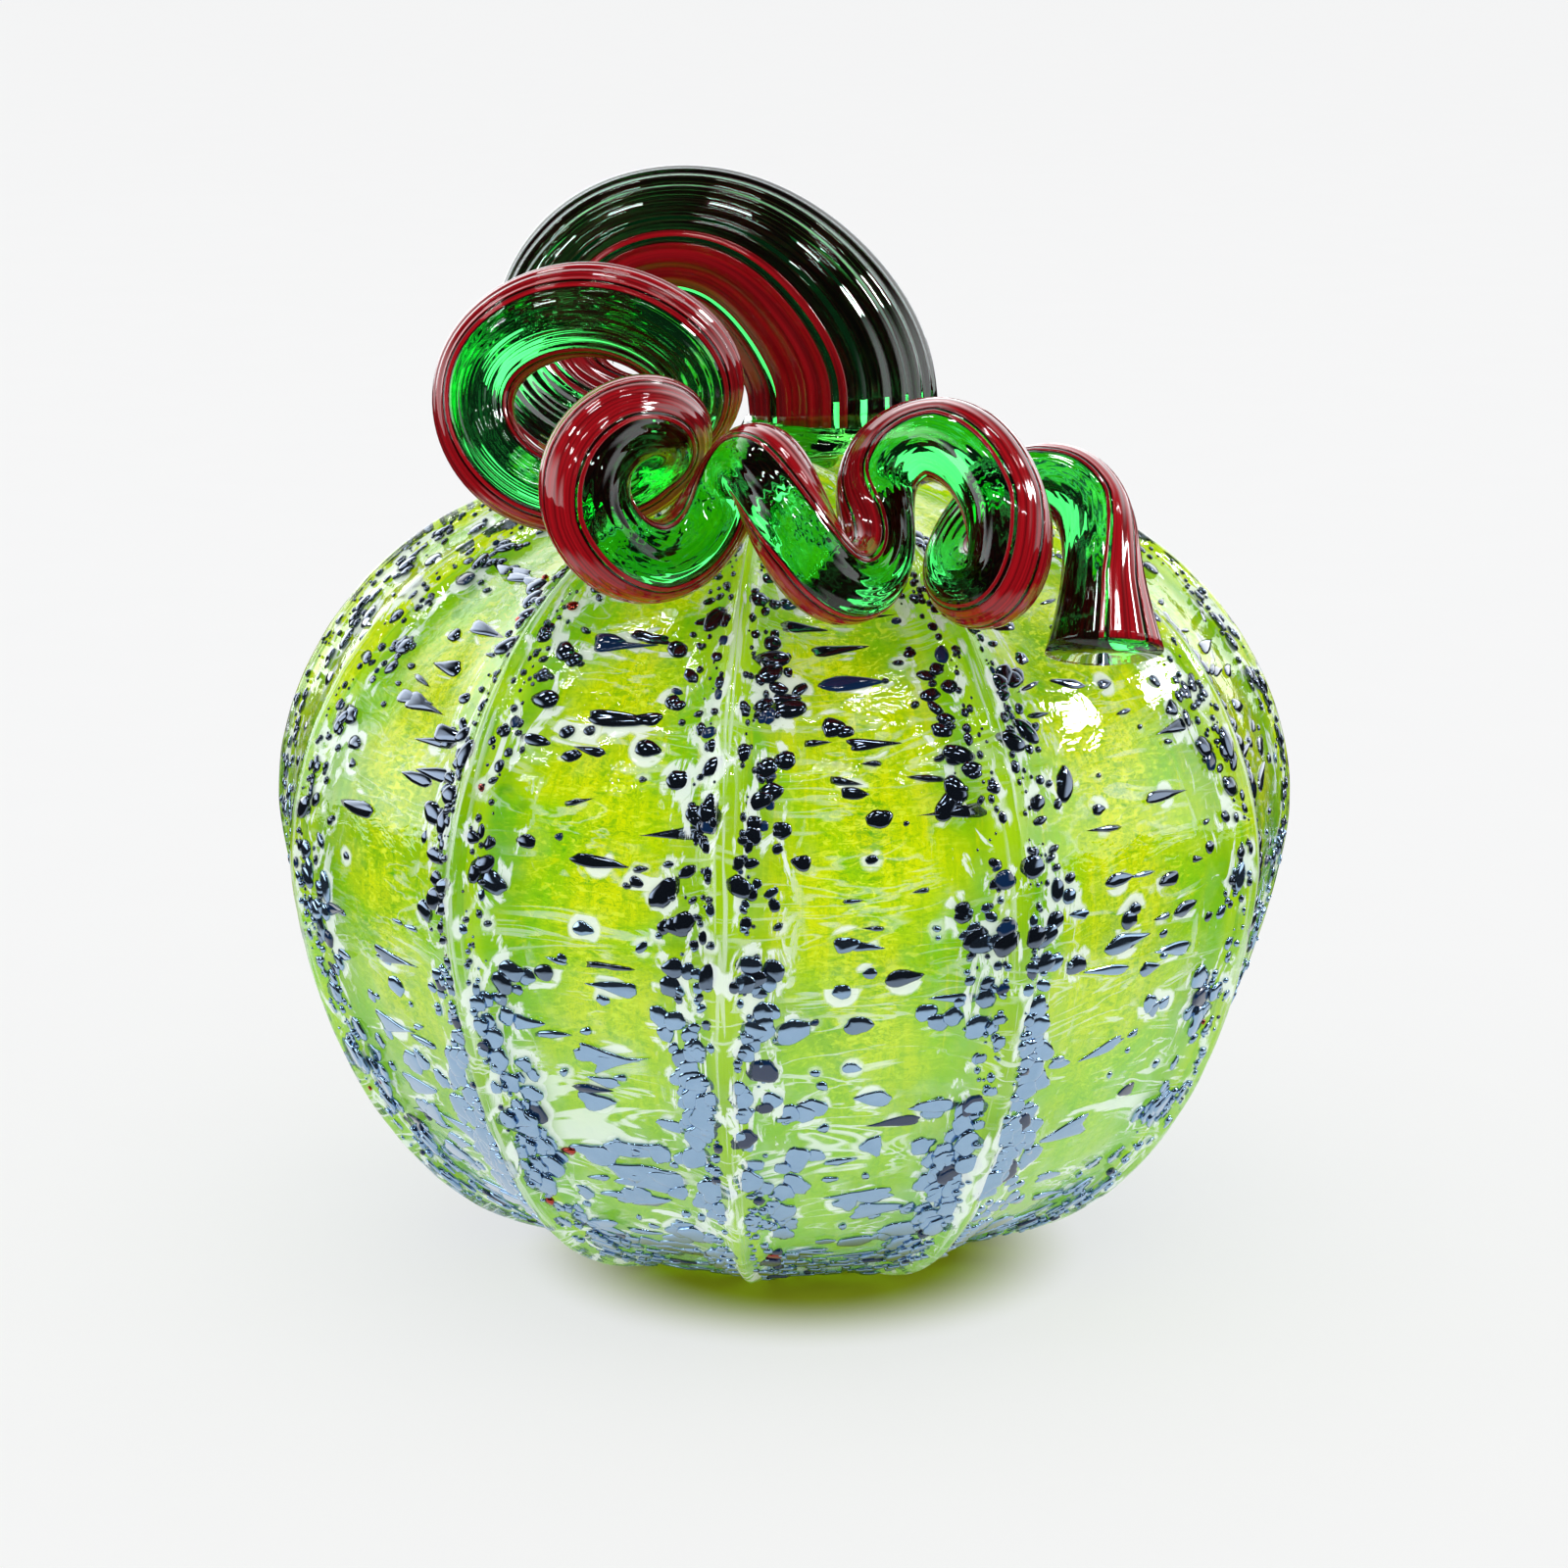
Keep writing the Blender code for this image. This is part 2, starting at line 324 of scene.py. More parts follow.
# frit: where each chip lies on the skin, its form and its colours
frit = {
    "seed": 11,
    "leastRadius": 0.02,
    "beadsBesideRib": 170,
    "beadRun": (0.10, 0.98),
    "beadAway": (0.0014, 0.0017),  # least, spread
    "beadSize": (0.00018, 0.0006, 1.9),  # least, run, crowding
    "beadLength": (1.0, 1.5),
    "bandClusters": 88,
    "clusterCounts": (1, 1, 2, 2, 3),
    "bandRun": (0.12, 0.85, 0.68),
    "bandAway": (0.0026, 0.0058, 1.5),
    "bandSize": (0.0005, 0.0011, 1.9),
    "bandLength": (1.0, 1.8),
    "bandLean": (0.3, 0.7),  # mean, spread
    "clusterSpread": (0.0018, 0.0014),  # down the skin, sideways
    "leastAway": 0.0020,
    "footGap": 0.001,
    "midPanel": 84,
    "panelRun": (0.18, 0.79, 0.75),
    "panelMiddle": (0.5, 0.17),  # mean, spread
    "panelEdges": (0.2, 0.8),
    "panelSize": (0.0004, 0.0010, 1.8),
    "panelLean": (0, 0.14),  # mean, spread
    "drawnCrowding": 2.2,
    "drawnOut": (1.2, 6.0),  # length over width, more when drawn
    "drawnPoint": 0.6,
    "longest": 0.0046,
    "pull": (0.2, 1.1),
    "leastPull": 0.3,
    "taper": 0.75,
    "taperLimit": 1.1,
    "bend": 0.5,
    "lobes": (0.20, 0.28),  # everywhere, more below
    "lobeScale": 1.3,
    "lobeSteps": (0.137, 0.7),  # from chip to chip, in two directions
    "lowSpread": 0.5,
    "beadLimit": 0.0006,
    "beadRings": (3, 8),  # rings, points in each
    "chipRings": (7, 20),
    "beadHeight": 0.8,
    "chipHeight": (0.40, 0.12),  # share of the width, less below
    "flatFrom": 0.062,
    "flatRun": 0.03,
    "haloReach": 0.0042,
    "haloFade": 0.0011,
    "haloEdge": 1.3,
    "haloFull": 0.0010,
    # painted reflection: the two blue-greys are the chips' lighter copy, for the floor they mirror lower
    # down; the dark one after them is their darker copy, for the dim room they mirror higher up
    "steel": (0.36, 0.53, 0.74, 1),
    "slate": (0.24, 0.40, 0.60, 1),
    "paintedShadeChip": (0.085, 0.115, 0.17, 1),
    # height and run where the chips' painted reflection turns from dark above to light below
    "paintedReflectionTop": 0.076,
    "paintedReflectionRun": 0.034,
    "cobalt": (0.004, 0.022, 0.075, 1),
    "odd": (0.42, 0.03, 0.008, 1),
    "cobaltShare": 0.04,
    "oddShare": 0.004,
    "sunk": 0.30,
}


# change of bearing for a step sideways along the skin
def turnFor(away, walk):
    return away / max(float(onCrest(walk)[0]), frit["leastRadius"])


# a draw from a rule: least value, run, and crowding (above 1 towards the least)
def pick(dice, rule):
    return rule[0] + rule[1] * dice.random() ** rule[2]


# each chip: walk, bearing, half length, half width, lean, point (over 1 is drawn to points), pull to one end
def scatterFrit():
    dice = random.Random(frit["seed"])
    chips = []
    run = crestEnd - lipWalk
    for start, end in zip(ribAngles, ribAngles[1:]):
        for side in (1, -1):
            rib = start if side == 1 else end
            for _ in range(frit["beadsBesideRib"]):
                walk = lipWalk + run * dice.uniform(*frit["beadRun"])
                away = frit["beadAway"][0] + abs(dice.gauss(0, frit["beadAway"][1]))
                size = pick(dice, frit["beadSize"])
                bearing = rib + side * turnFor(away, walk)
                long = size * dice.uniform(*frit["beadLength"])
                chips.append((walk, bearing, long, size, math.pi / 2, 1.0, 0.0))
            for _ in range(frit["bandClusters"]):
                walk = lipWalk + run * pick(dice, frit["bandRun"])  # thicker towards the foot
                away = pick(dice, frit["bandAway"])
                for _ in range(dice.choice(frit["clusterCounts"])):
                    size = pick(dice, frit["bandSize"])
                    spot = walk + dice.gauss(0, frit["clusterSpread"][0])
                    reach = max(away + dice.gauss(0, frit["clusterSpread"][1]), frit["leastAway"])
                    bearing = rib + side * turnFor(reach, min(spot, crestEnd))
                    long = size * dice.uniform(*frit["bandLength"])
                    lean = dice.gauss(*frit["bandLean"])
                    spot = min(spot, crestEnd - frit["footGap"])
                    chips.append((spot, bearing, long, size, lean, 1.0, 0.0))
        for _ in range(frit["midPanel"]):
            walk = lipWalk + run * pick(dice, frit["panelRun"])
            share = min(max(dice.gauss(*frit["panelMiddle"]), frit["panelEdges"][0]), frit["panelEdges"][1])
            bearing = start + (end - start) * share
            size = pick(dice, frit["panelSize"])
            draw = dice.random() ** frit["drawnCrowding"]
            long = min(size * (frit["drawnOut"][0] + frit["drawnOut"][1] * draw), frit["longest"])
            pull = dice.choice((-1, 1)) * dice.uniform(*frit["pull"]) * (frit["leastPull"] + draw)
            lean = dice.gauss(*frit["panelLean"])
            chips.append((walk, bearing, long, size, lean, 1.0 + frit["drawnPoint"] * draw, pull))
    return chips, dice


def buildFrit(chips, dice, material):
    points = []
    faces = []
    tones = []
    lustreAndPaintedReflection = []
    for walk, bearing, long, wide, lean, point, pull in chips:
        base, outward = onSkin(np.array(walk), np.array(bearing))
        outward = Vector(outward)
        east = Vector((math.cos(bearing), math.sin(bearing), 0.0))
        down = outward.cross(east).normalized()
        bead = wide < frit["beadLimit"]
        tiers, around = frit["beadRings"] if bead else frit["chipRings"]
        low = min(max((frit["flatFrom"] - base[2]) / frit["flatRun"], 0.0), 1.0)  # chips lie flatter below
        spread = 1 + frit["lowSpread"] * low
        pillow = 1 - frit["lowSpread"] * low
        rise = frit["beadHeight"] if bead else frit["chipHeight"][0] - frit["chipHeight"][1] * low
        tall = wide * rise / point ** 0.5
        middle = Vector(base) - outward * tall * frit["sunk"]
        first = len(points)
        seedSpot = first * frit["lobeSteps"][0]
        seedLift = seedSpot * frit["lobeSteps"][1]
        lobes = frit["lobes"][0] + frit["lobes"][1] * low
        tapering = frit["taper"] * max(min(pull, frit["taperLimit"]), -frit["taperLimit"])
        points.append(middle + outward * tall)
        for tier in range(1, tiers + 1):
            angle = math.pi * tier / (tiers + 1)
            ring = math.sin(angle) ** pillow
            height = math.copysign(abs(math.cos(angle)) ** pillow, math.cos(angle)) * tall
            for k in range(around):
                turn = 2 * math.pi * k / around
                c = math.cos(turn)
                d = math.sin(turn)
                lobeSpot = (c * frit["lobeScale"] + seedSpot, d * frit["lobeScale"], seedLift)
                wobble = 1 + lobes * noise.noise(lobeSpot)
                u = (c + pull * (1 - c * c) * frit["bend"]) * long * ring * wobble
                taper = 1 + tapering * c  # a round head and a drawn tail
                v = math.copysign(abs(d) ** point, d) * wide * spread * ring * wobble * taper
                x = u * math.cos(lean) - v * math.sin(lean)
                y = u * math.sin(lean) + v * math.cos(lean)
                points.append(middle + east * x + down * y + outward * height)
        points.append(middle - outward * tall)
        last = len(points) - 1
        for k in range(around):
            after = (k + 1) % around
            faces.append((first, first + 1 + k, first + 1 + after))
            faces.append((last, last - around + after, last - around + k))
        faces += gridFaces(tiers, around, first + 1, False)
        tones += [dice.random()] * (last - first + 1)
        # painted reflection: each chip's height, to colour it darker above and lighter below
        lustreAndPaintedReflection += [(frit["paintedReflectionTop"] - base[2]) / frit["paintedReflectionRun"]] * (last - first + 1)
    return meshPiece("frit_chips", points, faces, material, {"tone": tones, "lustreAndPaintedReflection": lustreAndPaintedReflection})


def fritMaterial():
    material, board = newBoard("dark lustre frit")
    tone = board.attribute("tone")
    cloud = board.noise(board.place(), 420, 3.0)
    lustreAndPaintedReflection = board.step(board.attribute("lustreAndPaintedReflection") + 0.6 * (tone - 0.5), 0.2, 0.8)  # painted reflection: blacker above, as if mirroring the dim room, steel-blue below, as if mirroring the floor
    colour = board.mix(lustreAndPaintedReflection, frit["paintedShadeChip"], board.mix(cloud, frit["slate"], frit["steel"]))
    cobalt = 1 - board.step(tone, frit["cobaltShare"], frit["cobaltShare"] + 0.001)
    colour = board.mix(cobalt, colour, frit["cobalt"])
    odd = board.step(tone, 1 - frit["oddShare"], 1 - frit["oddShare"] + 0.0005)
    colour = board.mix(odd, colour, frit["odd"])
    values = {
        "Base Color": colour,
        "Metallic": 0.97 * (1 - cobalt),
        "Roughness": 0.05 + 0.05 * cloud,
        "Coat Weight": 0.8,
        "Coat Roughness": 0.02,
    }
    board.surface(board.principled(values))
    return material


# each skin point's nearness to a chip's edge, to a panel's middle and to the crown, and its place unrolled
def skinMarks(points, walks, bearings, chips, inset):
    tree = kdtree.KDTree(len(chips))
    for index, chip in enumerate(chips):
        tree.insert(onSkin(np.array(chip[0]), np.array(chip[1]), inset)[0], index)
    tree.balance()
    halo = []
    for point in points.reshape(-1, 3):
        near = 0.0
        for _, index, distance in tree.find_range(point, frit["haloReach"]):
            edge = max(distance - chips[index][3] * frit["haloEdge"], 0.0)
            strength = min(chips[index][3] / frit["haloFull"], 1.0)
            near = max(near, strength * math.exp(-(edge / frit["haloFade"]) ** 2))
        halo.append(near)
    turned = bearings.ravel()
    laidOut = np.column_stack((np.sin(turned), -np.cos(turned), walks.ravel() / body["radius"]))
    return {
        "halo": np.array(halo),
        "panel": 1 - np.abs(2 * ribShare(bearings) - 1).ravel(),
        "high": smoothstep((points[..., 2] - body["highFrom"]) / body["highRun"]).ravel(),
        "unrolled": laidOut * body["radius"],
    }


# the inner skin takes no marks
def padMarks(marks, count):
    padded = {}
    for name, values in marks.items():
        padded[name] = np.concatenate((values, np.zeros((count,) + values.shape[1:])))
    return padded


# lime casing: the clear ribbed outside
casing = {
    "tint": (0.965, 0.99, 0.90, 1),
    "clear": (0.99, 1.0, 0.96, 1),
    "light": (0.97, 0.99, 0.90, 1),
    "milk": (0.86, 0.95, 0.91, 1),
    "wall": 0.0095,
    "innerEvery": 6,
    "rough": 0.01,
}


def casingMaterial():
    material, board = newBoard("lime casing glass")
    where = board.place()
    flat = board.unrolled()
    panel = board.attribute("panel")
    halo = board.attribute("halo")
    lines = board.noise(board.stretch(flat, (1.0, 1.0, 0.05)), 1100, 2.0)
    dimples = board.noise(board.stretch(flat, (0.7, 0.7, 1.3)), 240, 3.0, 0.55, 0.6)
    height = lines * 1.1 * (1 - board.step(panel, 0.05, 0.25)) + dimples
    bump = board.bump(height, 0.25, 0.0008)
    values = {
        "Base Color": board.mix(board.noise(where, 30), casing["tint"], casing["clear"]),
        "Roughness": casing["rough"],
        "IOR": 1.48,
        "Transmission Weight": 1.0,
        "Normal": bump,
    }
    glass = board.letLightIn(board.principled(values), casing["light"])
    # white wisps: drawn out across the panels, upright beside the ribs, and a milky edge round each chip
    across = board.noise(board.stretch(flat, (0.35, 0.35, 1.4)), 110, 3.0, 0.58, 1.3)
    low = 1 - 0.7 * board.attribute("high")  # the upper panels are clearer
    wisps = board.step(across, 0.62, 0.66) * board.step(panel, 0.25, 0.6) * low
    beside = board.noise(board.stretch(flat, (1.3, 1.3, 0.50)), 190, 5.0, 0.62, 1.2)
    nearRib = (1 - board.step(panel, 0.30, 0.62)) * board.step(panel, 0.02, 0.10)
    threads = board.step(beside, 0.575, 0.61) * nearRib
    drawn = board.mix(board.step(panel, 0.30, 0.60), beside, across)
    milk = board.step(halo, 0.25, 0.60) * board.step(drawn, 0.51, 0.55)
    broken = board.step(board.noise(flat, 70, 2.0), 0.42, 0.58)
    thread = board.nearMiddle(across, 0.005, 0.028) * broken * low
    streaks = board.step(lines, 0.52, 0.60) * (1 - board.step(panel, 0.03, 0.10))
    veins = (wisps * 0.8).top(threads * 0.75).top(milk * 0.8).top(thread * 0.75).top(streaks * 0.4)
    milky = {
        "Base Color": casing["milk"],
        "Roughness": 0.12,
        "Normal": bump,
        # painted light: the white veins also glow a little, though they are no lamp
        "Emission Color": casing["milk"],
        "Emission Strength": 0.14,
    }
    board.surface(board.blendShaders(veins, glass, board.principled(milky)))
    return material


def buildCasing(chips, material):
    walks, bearings, points, outward = skinGrid(body["rows"], body["perRib"], 0.0)
    rows, columns = walks.shape
    flat = points.reshape(-1, 3)
    away = outward.reshape(-1, 3)
    free = (ribFade(walks) > 0.02).ravel()  # the flat foot keeps its edge
    shifted = []
    for point, direction, loose in zip(flat, away, free):
        slow = noise.noise(Vector(point) * body["wanderScale"])
        quick = noise.noise(Vector(point) * body["rippleScale"])
        shift = (body["wander"] * (slow - body["wanderInward"]) + body["ripple"] * quick) * loose
        shifted.append(point + direction * min(shift, 0.0))
    every = slice(None, None, casing["innerEvery"])
    inner = onSkin(walks[every], bearings[every], casing["wall"])[0].reshape(-1, 3)
    faces = shellFaces(rows, len(walks[every]), columns)
    marks = padMarks(skinMarks(points, walks, bearings, chips, 0.0), len(inner))
    return meshPiece("ribbed_casing_glass", shifted + list(inner), faces, material, marks)


# yellow bubble: the coloured lining seen through the casing; its glow is painted light, an emission in its
# own colour for light scattered inside the glass
bubble = {
    "inset": 0.0044,
    "wall": 0.0018,
    "yellow": (0.74, 0.76, 0.002, 1),
    "lime": (0.28, 0.58, 0.004, 1),
    "olive": (0.40, 0.58, 0.002, 1),
    "deep": (0.03, 0.30, 0.006, 1),
    "emerald": (0.012, 0.20, 0.012, 1),
    "crest": (0.52, 0.72, 0.012, 1),
    "pale": (0.28, 0.60, 0.12, 1),
    "vein": (0.80, 0.90, 0.84, 1),
    # painted highlight colour for the glints of small ripples in the glass
    "paintedRippleHighlight": (0.86, 0.92, 0.06, 1),
    "through": (0.42, 0.62, 0.008, 1),
    "light": (0.62, 0.60, 0.10, 1),
    "paintedGlow": 0.48,
    "throughShare": 0.30,
    "lightShare": 0.6,
    "rows": 230,
    "perRib": 34,
    "innerEvery": 8,
}


def bubbleMaterial():
    material, board = newBoard("yellow lime lining")
    flat = board.unrolled()
    panel = board.attribute("panel")
    halo = board.attribute("halo")
    high = board.attribute("high")
    drift = board.noise(flat, 42, 3.0, 0.55, 0.5)
    upright = board.noise(board.stretch(flat, (1.0, 1.0, 0.12)), 480, 4.0, 0.65, 0.3)
    ruffle = board.noise(board.stretch(flat, (0.6, 0.6, 1.0)), 480, 5.0, 0.7, 1.8)
    colour = board.mix(board.step(drift + 0.20 * panel, 0.46, 0.70), bubble["lime"], bubble["yellow"])
    colour = board.mix(board.step(upright, 0.46, 0.56) * 0.55, colour, bubble["olive"])
    colour = board.mix(board.step(upright, 0.60, 0.68) * 0.75, colour, bubble["yellow"])
    shade = board.step(board.noise(flat, 26, 2.0, 0.5, 0.8), 0.58, 0.72)
    colour = board.mix(shade * 0.5, colour, bubble["deep"])
    smears = board.step(board.noise(flat, 34, 3.0, 0.6, 1.4), 0.61, 0.70) * (0.7 - 0.5 * panel)
    colour = board.mix(smears, colour, bubble["emerald"])
    # painted light: the crinkle and crackle marks paint the glints and shade of small ripples in the glass,
    # yellow lines where they catch light and deep green lines where they shade
    crinkled = board.step(board.noise(flat, 55, 2.0), 0.45, 0.60) * panel
    colour = board.mix(board.step(ruffle, 0.57, 0.62) * 0.8 * crinkled, colour, bubble["deep"])
    colour = board.mix((1 - board.step(ruffle, 0.38, 0.43)) * 0.9 * crinkled, colour, bubble["yellow"])
    colour = board.mix(board.nearMiddle(ruffle, 0.006, 0.030) * 0.55 * panel, colour, bubble["deep"])
    crackle = board.noise(board.stretch(flat, (0.40, 0.40, 1.0)), 850, 3.0, 0.6, 1.5)
    colour = board.mix(board.step(crackle, 0.56, 0.62) * 0.5 * panel, colour, bubble["deep"])
    colour = board.mix((1 - board.step(crackle, 0.38, 0.44)) * 0.8 * panel, colour, bubble["paintedRippleHighlight"])
    colour = board.mix((1 - board.step(panel, 0.12, 0.50)) * 0.3, colour, bubble["deep"])
    colour = board.mix((1 - high) * 0.75, colour, bubble["pale"])
    colour = board.mix((1 - board.step(panel, 0.04, 0.14)) * 0.6, colour, bubble["crest"])
    cloudy = halo * board.step(board.noise(flat, 160, 3.0, 0.6), 0.40, 0.60) * (1 - 0.8 * high)
    colour = board.mix(cloudy * 0.25, colour, bubble["vein"])
    values = {
        "Base Color": colour,
        "Roughness": 0.5,
        "Specular IOR Level": 0.0,
        # painted light: the lining glows by its own colour though it is no lamp
        "Emission Color": colour,
        "Emission Strength": bubble["paintedGlow"],
    }
    through = board.add("ShaderNodeBsdfTranslucent", None, {"Color": bubble["through"]}).out()
    lit = board.blendShaders(bubble["throughShare"], board.principled(values), through)
    path = board.add("ShaderNodeLightPath")
    clear = board.add("ShaderNodeBsdfTransparent", None, {"Color": bubble["light"]}).out()
    board.surface(board.blendShaders(path.out("Is Shadow Ray") * bubble["lightShare"], lit, clear))
    return material


def buildBubble(chips, material):
    walks, bearings, points, _ = skinGrid(bubble["rows"], bubble["perRib"], bubble["inset"])
    every = slice(None, None, bubble["innerEvery"])
    inner = onSkin(walks[every], bearings[every], bubble["inset"] + bubble["wall"])[0].reshape(-1, 3)
    faces = shellFaces(len(walks), len(walks[every]), walks.shape[1])
    marks = padMarks(skinMarks(points, walks, bearings, chips, bubble["inset"]), len(inner))
    return meshPiece("inner_bubble_lining", list(points.reshape(-1, 3)) + list(inner), faces, material, marks)


# stem: the trail's course over the crown in millimetres, right, back, lift and thickness
stem = {
    "course": (
        (9.0, 9.0, 4.0, 28.0), (8.2, 9.4, 10.0, 28.0), (1.2, 9.0, 21.4, 25.8),
        (-10.6, 8.0, 29.7, 22.0), (-23.6, 5.0, 27.6, 19.8), (-29.5, 0.0, 17.5, 18.0),
        (-26.5, -12.0, 10.2, 15.5), (-15.0, -19.0, 8.5, 13.5), (-10.0, -22.0, 16.0, 13.0),
        (-16.0, -23.0, 25.0, 13.0), (-24.0, -24.0, 29.0, 13.0), (-33.0, -25.0, 26.5, 12.0),
        (-36.5, -29.5, 19.0, 11.0), (-31.0, -35.5, 9.5, 10.5), (-18.0, -34.0, 7.0, 10.5),
        (-13.0, -36.5, 15.0, 11.2), (-17.0, -43.0, 22.9, 11.8), (-22.4, -50.0, 21.6, 12.2),
        (-20.0, -55.3, 13.2, 11.8), (-12.8, -52.0, 7.5, 11.0), (-7.0, -45.0, 10.5, 10.5),
        (-3.0, -46.5, 17.5, 11.0), (0.5, -55.0, 17.0, 11.5), (6.5, -60.0, 10.0, 11.0),
        (12.5, -50.5, 6.0, 10.5), (11.5, -40.5, 11.0, 11.0), (17.0, -41.5, 18.5, 11.5),
        (24.0, -49.0, 21.0, 11.5), (27.0, -57.5, 14.0, 11.0), (23.5, -53.5, 6.5, 10.5),
        (26.0, -41.0, 7.0, 10.5), (32.0, -35.5, 12.5, 10.5), (37.0, -40.5, 15.5, 10.5),
        (39.5, -49.5, 13.5, 11.0), (42.0, -58.0, 10.0, 16.0),
    ),
    "unit": 0.001,
    "dense": 4000,
    "step": 0.001,
    "soften": 22,
    "ribs": 24,
    "perRib": 6,
    "ribDepth": 0.035,
    "rodShare": 0.985,
    "smoothFrom": 0.28,
    "smoothRun": 0.24,
    "smoothShare": 0.72,
    # share of the trail's length, degrees turned about it
    "wind": (
        (0.0, 225), (0.13, 244), (0.20, 285), (0.27, 320), (0.32, 340), (0.41, 361),
        (0.445, 366), (0.471, 407), (0.501, 460), (0.534, 500), (0.562, 504), (0.59, 480),
        (0.615, 456), (0.636, 415), (0.664, 371), (0.692, 350), (0.723, 326), (0.753, 292),
        (0.776, 250), (0.811, 240), (0.844, 272), (0.869, 290), (0.925, 350), (0.949, 330),
        (0.977, 352), (1.0, 356),
    ),
    "green": (0.015, 0.58, 0.08, 1),
    "bright": (0.10, 0.86, 0.19, 1),
    "light": (0.10, 0.45, 0.14, 1),
}


def overBody(right, back, lift):
    walk = np.maximum(np.hypot(right, back), 1e-6)
    radius, height, out, up = onCrest(walk)
    reach = radius + out * lift
    return np.column_stack((reach * right / walk, reach * back / walk, height + up * lift))


def splineThrough(knots, values, at):
    gaps = np.diff(knots)
    count = len(knots)
    system = np.eye(count)
    pull = np.zeros_like(values)
    for i in range(1, count - 1):
        system[i, i - 1:i + 2] = gaps[i - 1], 2 * (gaps[i - 1] + gaps[i]), gaps[i]
        pull[i] = 6 * ((values[i + 1] - values[i]) / gaps[i] - (values[i] - values[i - 1]) / gaps[i - 1])
    bend = np.linalg.solve(system, pull)
    i = np.clip(np.searchsorted(knots, at) - 1, 0, count - 2)
    before = ((knots[i + 1] - at) / gaps[i])[:, None]
    after = 1 - before
    curve = (before ** 3 - before) * bend[i] + (after ** 3 - after) * bend[i + 1]
    return before * values[i] + after * values[i + 1] + curve * gaps[i][:, None] ** 2 / 6


def stemLine():
    rows = np.array(stem["course"]) * stem["unit"]
    places = overBody(rows[:, 0], rows[:, 1], rows[:, 2])
    knots = np.concatenate(([0], np.cumsum(np.sqrt(np.linalg.norm(np.diff(places, axis=0), axis=1)))))
    dense = np.linspace(0, knots[-1], stem["dense"])
    fine = splineThrough(knots, rows, dense)
    path = overBody(fine[:, 0], fine[:, 1], fine[:, 2])
    walked = np.concatenate(([0], np.cumsum(np.linalg.norm(np.diff(path, axis=0), axis=1))))
    steps = np.linspace(0, walked[-1], int(walked[-1] / stem["step"]))
    fine = splineThrough(knots, rows, np.interp(steps, walked, dense))
    points = overBody(fine[:, 0], fine[:, 1], fine[:, 2])
    for _ in range(stem["soften"]):
        points[1:-1] = (points[:-2] + 2 * points[1:-1] + points[2:]) / 4
    tangents = np.gradient(points, axis=0)
    tangents[0] = (0, 0, 1)
    tangents /= np.linalg.norm(tangents, axis=1)[:, None]
    side = np.array((1.0, 0.0, 0.0))
    sides = []
    for tangent in tangents:
        side = side - tangent * side.dot(tangent)
        side /= np.linalg.norm(side)
        sides.append(side)
    sides = np.array(sides)
    return points, fine[:, 3] / 2, sides, np.cross(tangents, sides)


trail = stemLine()
windShares, windDegrees = np.array(stem["wind"]).T


# bearing of the first red strip's middle, wound about the trail
def windAt(index):
    return math.radians(np.interp(index / len(trail[0]), windShares, windDegrees))


# reach at each angle, with optic ribs along the trail that are drawn out smoother in the small turns
def opticReach(index, angle):
    smooth = smoothstep((index / len(trail[0]) - stem["smoothFrom"]) / stem["smoothRun"])
    depth = stem["ribDepth"] * (1 - stem["smoothShare"] * smooth)
    return trail[1][index] * (1 - depth * (0.5 + 0.5 * np.cos(stem["ribs"] * angle)))


# a ring of points about the trail, turned with the winding
def ringAt(index, angles, reach):
    points, _, first, second = trail
    turned = angles + windAt(index)
    ring = points[index] + (reach * np.cos(turned))[:, None] * first[index]
    return ring + (reach * np.sin(turned))[:, None] * second[index]


# the rod stands a little under the red strips' faces
def buildRod(material):
    columns = stem["ribs"] * stem["perRib"]
    angles = np.linspace(0, 2 * math.pi, columns, endpoint=False)
    rings = []
    uv = []
    count = len(trail[0])
    for i in range(count):
        rings.append(ringAt(i, angles, opticReach(i, angles) * stem["rodShare"]))
        uv.append(np.column_stack((np.full(columns, i * stem["step"]), angles / (2 * math.pi))))
    faces = tubeFaces(count, columns)
    return meshPiece("stem_rod_glass", np.concatenate(rings), faces, material, None, np.concatenate(uv))


# red strips laid in the rod's skin, two on opposite sides, each split by fine green slits
overlay = {
    "near": ((-46, -7), (-2, 36), (41, 46)),
    "far": ((-46, -40), (-36, 14), (18, 46)),
    "thick": 0.0009,
    "perDegree": 0.5,
    "leastSteps": 4,
    "red": (0.38, 0.004, 0.009, 1),
    "dark": (0.14, 0.002, 0.004, 1),
    "pink": (0.60, 0.03, 0.04, 1),
}


def buildOverlay(name, stripes, middle, material):
    count = len(trail[0])
    points = []
    faces = []
    uv = []
    for low, high in stripes:
        steps = max(int((high - low) * overlay["perDegree"]), overlay["leastSteps"])
        angles = np.radians(np.linspace(low, high, steps + 1) + middle)
        loop = np.concatenate((angles, angles[::-1]))
        faces += tubeFaces(count, len(loop), len(points))
        for i in range(count):
            outer = opticReach(i, angles)
            reach = np.concatenate((outer, outer[::-1] - overlay["thick"]))
            points += list(ringAt(i, loop, reach))
            uv += [(i * stem["step"], angle / (2 * math.pi)) for angle in loop]
    return meshPiece(name, points, faces, material, None, uv)


def rodMaterial():
    material, board = newBoard("green rod glass")
    where = board.along()
    lines = board.noise(board.stretch(where, (9.0, 60.0, 1.0)), 1.0, 3.0)
    values = {
        "Base Color": board.mix(lines, stem["green"], stem["bright"]),
        "Roughness": 0.02,
        "IOR": 1.52,
        "Transmission Weight": 1.0,
    }
    board.surface(board.letLightIn(board.principled(values), stem["light"]))
    return material


